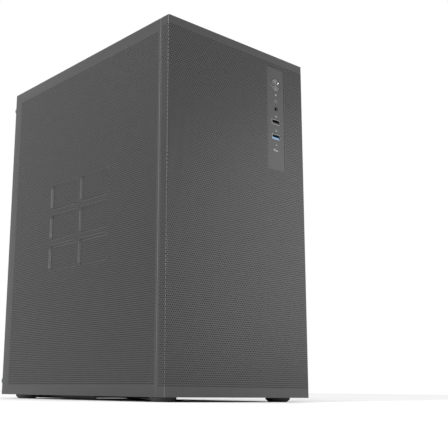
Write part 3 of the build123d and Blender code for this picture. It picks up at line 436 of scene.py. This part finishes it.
FOOT_RADIUS = 13.2 * MM
FOOT_OUTLINE = (  # radius and height in millimetres, from the floor to the top of the plug
    (0, 0),
    (9.2, 0),
    (9.9, 0.15),
    (10.6, 0.6),
    (12.7, 2.3),
    (13.1, 2.8),
    (13.2, 3.3),
    (13.2, 4.2),
    (12.9, 4.5),
    (2.5, 4.5),
    (2.5, 6.9),
    (0, 6.9),
)

PRINT_FRONT, PRINT_BACK = 0.03 * MM, 0.02 * MM  # how far a mark stands in front of the strip and behind it
HEADSET_MARK = 329.0 * MM  # height of the headset mark
PLUG_MARKS = ((311.6 * MM, 1.3 * MM), (294.9 * MM, 1.3 * MM), (278.2 * MM, 0.9 * MM))  # height, half width
PLUG_LOW, PLUG_SHOULDER, PLUG_TOP = -0.9 * MM, 0.3 * MM, 1.1 * MM
PRONG = 0.2 * MM  # half width of a prong


def button_face(radius, rim):
    """Height of the turned rings and the shallow dish at a radius."""
    ring = RIDGE_HEIGHT * (cos(2 * pi * radius / RIDGE) - 1) / 2
    return ring - DISH * (1 - (radius / rim) ** 2)


def power_button():
    """Round spun-metal cap with fine turned rings, its flange and its stem."""
    low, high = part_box("power_button")
    centre = ((low.x + high.x) / 2, low.y, (low.z + high.z) / 2)
    end, flange = low.y - high.y, (high.x - low.x) / 2
    cap = flange - FLANGE_WIDTH
    rim = cap - LIP
    profile = [(0, end), (STEM, end), (STEM, FLANGE_BACK), (flange, FLANGE_BACK), (flange, FLANGE_FRONT)]
    profile += [(cap, FLANGE_FRONT), (cap, -0.4 * MM), (cap - 0.1 * MM, -0.15 * MM), (cap - 0.35 * MM, 0)]
    radii = [rim * (1 - i / FACE_STEPS) for i in range(FACE_STEPS)]
    profile += [(radius, button_face(radius, rim)) for radius in radii]
    bm = bmesh.new()
    lathe(bm, profile + [(0, -DISH)], centre, (0, -1, 0), 72)
    piece = smooth(from_bmesh("power_button_cap", bm), 50)
    finish_piece(piece, "button", "button_metal", BUTTON_METAL, "power_button")


def feet():
    """Four turned rubber feet."""
    low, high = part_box("feet")
    profile = [(radius * MM, height * MM) for radius, height in FOOT_OUTLINE]
    bm = bmesh.new()
    for x in (low.x + FOOT_RADIUS, high.x - FOOT_RADIUS):
        for y in (low.y + FOOT_RADIUS, high.y - FOOT_RADIUS):
            lathe(bm, profile, (x, y, 0), (0, 0, 1), 64)
    finish_piece(smooth(from_bmesh("feet_turned", bm), 35), "chassis", "foot_rubber", RUBBER, "feet")


def add_print(bm, outline, y):
    """A flat printed shape from its outline in (x, z), on the face at y."""
    front = [bm.verts.new((x, y - PRINT_FRONT, z)) for x, z in outline]
    back = [bm.verts.new((x, y + PRINT_BACK, z)) for x, z in outline]
    bm.faces.new(front)
    bm.faces.new(back[::-1])
    for i in range(len(outline)):
        j = (i + 1) % len(outline)
        bm.faces.new((front[i], back[i], back[j], front[j]))


def arc_outline(centre, outer, inner, start, end, steps=12):
    """Outline of part of a ring between two angles in degrees."""
    turns = [radians(start + (end - start) * i / steps) for i in range(steps + 1)]
    ring = [(centre[0] + outer * cos(t), centre[1] + outer * sin(t)) for t in turns]
    return ring + [(centre[0] + inner * cos(t), centre[1] + inner * sin(t)) for t in turns[::-1]]


def plain_outline(x, z):
    """Outline of a rectangle from its x pair and its z pair."""
    return [(x[0], z[0]), (x[1], z[0]), (x[1], z[1]), (x[0], z[1])]


def headset_mark(bm, x, y, z):
    """A head band over two ear pads."""
    add_print(bm, arc_outline((x, z), 1.9 * MM, 1.5 * MM, 0, 180), y)
    for side in (-1, 1):
        pad = (x + side * 1.7 * MM, z - 0.6 * MM)
        add_print(bm, arc_outline(pad, 0.55 * MM, 0.0, 0, 350), y)


def plug_mark(bm, x, y, z, half):
    """A plug's body, half wide on each side of x, with two prongs."""
    add_print(bm, plain_outline((x - half, x + half), (z + PLUG_LOW, z + PLUG_SHOULDER)), y)
    for side in (-1, 1):
        middle = x + side * half * 0.5
        sides = (middle - PRONG, middle + PRONG)
        add_print(bm, plain_outline(sides, (z + PLUG_SHOULDER, z + PLUG_TOP)), y)


def printed_marks():
    """Small generic marks above the sockets: a headset, and a plain plug for each port."""
    x, y = (STRIP_LOW.x + STRIP_HIGH.x) / 2, STRIP_LOW.y
    bm = bmesh.new()
    headset_mark(bm, x, y, HEADSET_MARK)
    for z, half in PLUG_MARKS:
        plug_mark(bm, x, y, z, half)
    finish_piece(from_bmesh("strip_marks", bm), "chassis", "strip_plastic", PRINT)


# ---------------------------------------------------------------- materials
ROUGH_SPREAD = 0.06


def node(tree, kind, **values):
    made = tree.nodes.new(kind)
    for key, value in values.items():
        if key in made.inputs:
            made.inputs[key].default_value = value
        else:
            setattr(made, key, value)
    return made


def surface(
    name, colour, rough, metallic=0.0, vary=0.12, patch=90, grain=1400, bump=0.25, depth=0.03, **extra
):
    """A finish with slow patches in colour and roughness and a fine grain in its surface.

    patch and grain are noise scales per metre, and depth is the grain's height in millimetres."""
    made = bpy.data.materials.new(name)
    made.use_nodes = True
    tree = made.node_tree
    shader = tree.nodes["Principled BSDF"]
    shader.inputs["Metallic"].default_value = metallic
    for key, value in extra.items():
        shader.inputs[key.replace("_", " ")].default_value = value
    where = node(tree, "ShaderNodeTexCoord")
    slow = node(tree, "ShaderNodeTexNoise", Scale=patch, Detail=4.0, Roughness=0.6)
    fine = node(tree, "ShaderNodeTexNoise", Scale=grain, Detail=2.0, Roughness=0.5)
    tree.links.new(where.outputs["Object"], slow.inputs["Vector"])
    tree.links.new(where.outputs["Object"], fine.inputs["Vector"])
    tint = node(tree, "ShaderNodeMix", data_type="RGBA")
    tint.inputs["A"].default_value = (*[c * (1 - vary) for c in colour], 1)
    tint.inputs["B"].default_value = (*[min(c * (1 + vary), 1) for c in colour], 1)
    tree.links.new(slow.outputs["Fac"], tint.inputs["Factor"])
    tree.links.new(tint.outputs["Result"], shader.inputs["Base Color"])
    gloss = node(tree, "ShaderNodeMapRange")
    gloss.inputs["From Min"].default_value = 0.3
    gloss.inputs["From Max"].default_value = 0.7
    gloss.inputs["To Min"].default_value = max(rough - ROUGH_SPREAD, 0.02)
    gloss.inputs["To Max"].default_value = min(rough + ROUGH_SPREAD, 1.0)
    tree.links.new(fine.outputs["Fac"], gloss.inputs["Value"])
    tree.links.new(gloss.outputs["Result"], shader.inputs["Roughness"])
    bumps = node(tree, "ShaderNodeBump", Strength=bump, Distance=depth * MM)
    tree.links.new(fine.outputs["Fac"], bumps.inputs["Height"])
    tree.links.new(bumps.outputs["Normal"], shader.inputs["Normal"])
    return made


SHELL = surface("shell_powder_coat", (0.029, 0.029, 0.03), 0.34, Specular_IOR_Level=0.36)
STRIP = surface("strip_plastic", (0.03, 0.03, 0.031), 0.4, grain=2200, depth=0.01, Specular_IOR_Level=0.4)
PRINT = surface("printed_mark", (0.2, 0.2, 0.2), 0.5)
BLACK_PLASTIC = surface("black_plastic", (0.022, 0.022, 0.023), 0.5, grain=1800)
SCREEN = surface("nylon_screen", (0.034, 0.034, 0.035), 0.8, grain=3000)
RUBBER = surface("foot_rubber", (0.055, 0.055, 0.055), 0.7, grain=1200, depth=0.05)
STEEL = surface("plated_steel", (0.62, 0.62, 0.61), 0.3, metallic=1.0, vary=0.05)
PORT_STEEL = surface("port_steel", (0.36, 0.36, 0.36), 0.32, metallic=1.0, vary=0.05)
BLACK_STEEL = surface("black_zinc", (0.07, 0.07, 0.075), 0.38, metallic=0.8)
ALUMINIUM = surface("aluminium", (0.7, 0.71, 0.72), 0.33, metallic=1.0, vary=0.05)
BUTTON_METAL = surface("spun_metal", (0.11, 0.11, 0.112), 0.16, metallic=1.0, vary=0.05, bump=0.05)
LENS = surface("led_lens", (0.2, 0.203, 0.206), 0.35, vary=0.03)
SOCKET_BLACK = surface("socket_black", (0.012, 0.012, 0.013), 0.45)
SOCKET_BLUE = surface("socket_blue", (0.10, 0.24, 0.42), 0.4)
LAMINATE = surface("board_laminate", (0.02, 0.04, 0.03), 0.4)
BRASS = surface("brass", (0.7, 0.52, 0.24), 0.3, metallic=1.0, vary=0.06)
SLEEVE = surface("lead_sleeve", (0.02, 0.02, 0.021), 0.7, grain=2500, depth=0.2)

SLOT_MATERIALS = {
    "shell_paint": SHELL,
    "strip_plastic": STRIP,
    "frame_plastic": BLACK_PLASTIC,
    "foot_rubber": RUBBER,
    "button_metal": BUTTON_METAL,
    "led_lens": LENS,
    "port_steel": PORT_STEEL,
    "socket_black": SOCKET_BLACK,
    "socket_blue": SOCKET_BLUE,
    "screen_mesh": SCREEN,
    "screw_steel": BLACK_STEEL,
    "plated_steel": STEEL,
    "fan_plastic": BLACK_PLASTIC,
    "psu_paint": BLACK_STEEL,
    "board_laminate": LAMINATE,
    "fin_aluminium": ALUMINIUM,
    "spreader_metal": STEEL,
    "drive_metal": ALUMINIUM,
    "guard_wire": STEEL,
    "brass": BRASS,
    "lead_sleeve": SLEEVE,
}


def paint_cad_nodes():
    """Gives each CAD node the material of its slot and smooth shading."""
    for part in frame["record"]["subparts"]:
        carried = frame["nodes"][part["node"]]
        carried.data.materials.clear()
        carried.data.materials.append(SLOT_MATERIALS[part["material_slot"]])
        smooth(carried)


# ---------------------------------------------------------------- camera, floor and light
CORNER = Vector((-X_OUT, Y_FRONT, Z_LOW))
CAMERA_FROM_CORNER = Vector((-1.25046, -1.48885, 0.01534))  # in shell heights
CAMERA_YAW, CAMERA_PITCH, CAMERA_ROLL = radians(40.14), radians(11.48), radians(0.61)
LENS_LENGTH = 63.4


def camera():
    """The camera low in front of the near corner, looking slightly up."""
    data = bpy.data.cameras.new("camera")
    data.lens, data.sensor_width = LENS_LENGTH, 36.0
    data.shift_x, data.shift_y = 0.125, 0.015
    made = bpy.data.objects.new("camera", data)
    bpy.context.scene.collection.objects.link(made)
    turn = Matrix.Rotation(-CAMERA_YAW, 3, "Z") @ Matrix.Rotation(pi / 2 + CAMERA_PITCH, 3, "X")
    turn = turn @ Matrix.Rotation(CAMERA_ROLL, 3, "Z")
    made.matrix_world = Matrix.Translation(CORNER + CAMERA_FROM_CORNER * HEIGHT) @ turn.to_4x4()
    bpy.context.scene.camera = made


def area_light(name, place, target, size, power):
    """A rectangular light, size (across, up) in metres, aimed at target."""
    data = bpy.data.lights.new(name, "AREA")
    data.shape = "RECTANGLE"
    data.energy, data.size, data.size_y = power, size[0], size[1]
    made = bpy.data.objects.new(name, data)
    bpy.context.scene.collection.objects.link(made)
    made.location = place
    made.rotation_euler = (Vector(target) - Vector(place)).to_track_quat("-Z", "Y").to_euler()


def studio():
    """White room light, a pale floor, and a tall key at the left with small lights at the front and right."""
    world = bpy.data.worlds.new("studio")
    bpy.context.scene.world = world
    world.use_nodes = True
    world.node_tree.nodes["Background"].inputs["Color"].default_value = (1, 1, 1, 1)
    world.node_tree.nodes["Background"].inputs["Strength"].default_value = 1.0
    bpy.context.scene.view_settings.view_transform = "Standard"
    bm = bmesh.new()
    add_block(bm, (-6, -6, -0.02), (6, 6, 0))
    floor = from_bmesh("floor", bm)
    floor.data.materials.append(surface("floor_white", (0.86, 0.86, 0.86), 0.8, vary=0.01, patch=2, grain=50))
    area_light("key", (-2.1, -0.75, 0.8), (-0.1, -0.1, 0.3), (0.22, 1.5), 54)
    area_light("front", (0.45, -0.5, 0.25), (0.08, -0.15, 0.2), (0.4, 0.45), 0.6)
    area_light("face", (0.39, -1.62, 0.41), (0.06, -0.15, 0.34), (0.1, 0.1), 4)
    area_light("right", (0.75, -0.6, 0.35), (0.1, -0.15, 0.2), (0.5, 0.5), 0.6)


paint_cad_nodes()
side_panel(-1, SHELL)
side_panel(1, SHELL)
front_cover(SHELL)
power_button()
feet()
printed_marks()
camera()
studio()
